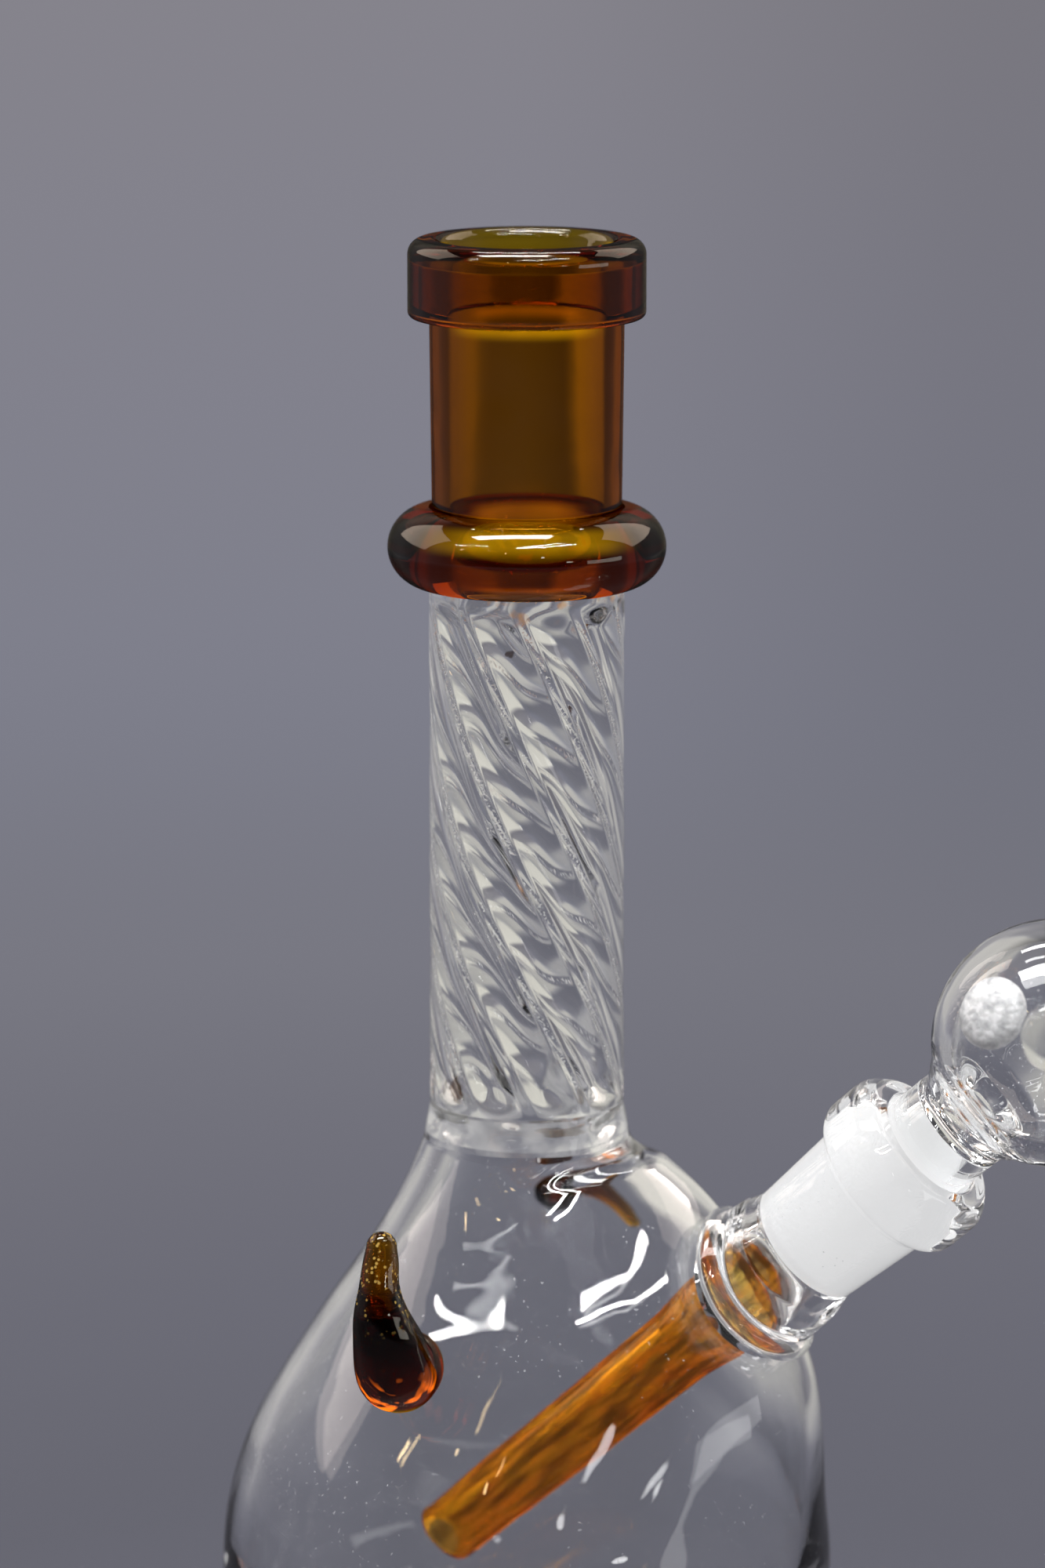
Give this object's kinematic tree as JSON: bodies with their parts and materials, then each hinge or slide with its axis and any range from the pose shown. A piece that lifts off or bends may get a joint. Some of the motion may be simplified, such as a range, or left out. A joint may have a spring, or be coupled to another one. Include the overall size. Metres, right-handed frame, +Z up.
{
  "type": "glass water pipe",
  "caption": "Glass water pipe: a clear round-shouldered flask with a ribbed neck, amber mouthpiece and horns, and an inclined ground joint with a downstem and a lift-out ball bowl.",
  "frame": {"origin": "centre of the flask's flat underside, on the axis of the flask and neck", "axes": "+Z up along the neck; -Y is the front, where the larger horn is; the inclined arm leans to +X and slightly to the front"},
  "size_m": [0.1265, 0.0896, 0.2067],
  "materials": {
    "clear_glass": "polished clear borosilicate",
    "amber_glass": "polished amber borosilicate",
    "ground_glass": "clear outside, ground to a white frost where it seats"
  },
  "bodies": {
    "pipe": {"flask_body": "clear_glass", "shoulder_weld": "clear_glass", "neck_tube": "clear_glass", "neck_ring": "amber_glass", "mouthpiece_tube": "amber_glass", "lip_collar": "amber_glass", "horn_front": "amber_glass", "horn_rear": "amber_glass", "arm_weld_ring": "clear_glass", "downstem": "amber_glass", "joint_socket": "ground_glass"},
    "bowl": {"bowl_plug": "ground_glass", "bowl_ball": "clear_glass", "bowl_dot_1": "clear_glass", "bowl_dot_2": "clear_glass", "bowl_dot_3": "clear_glass"}
  },
  "joints": [
    {"name": "bowl_lift", "type": "slide", "parent": "pipe", "child": "bowl", "axis": [0.6831, -0.3042, 0.6639], "range_m": [0, 0.035]}
  ]
}
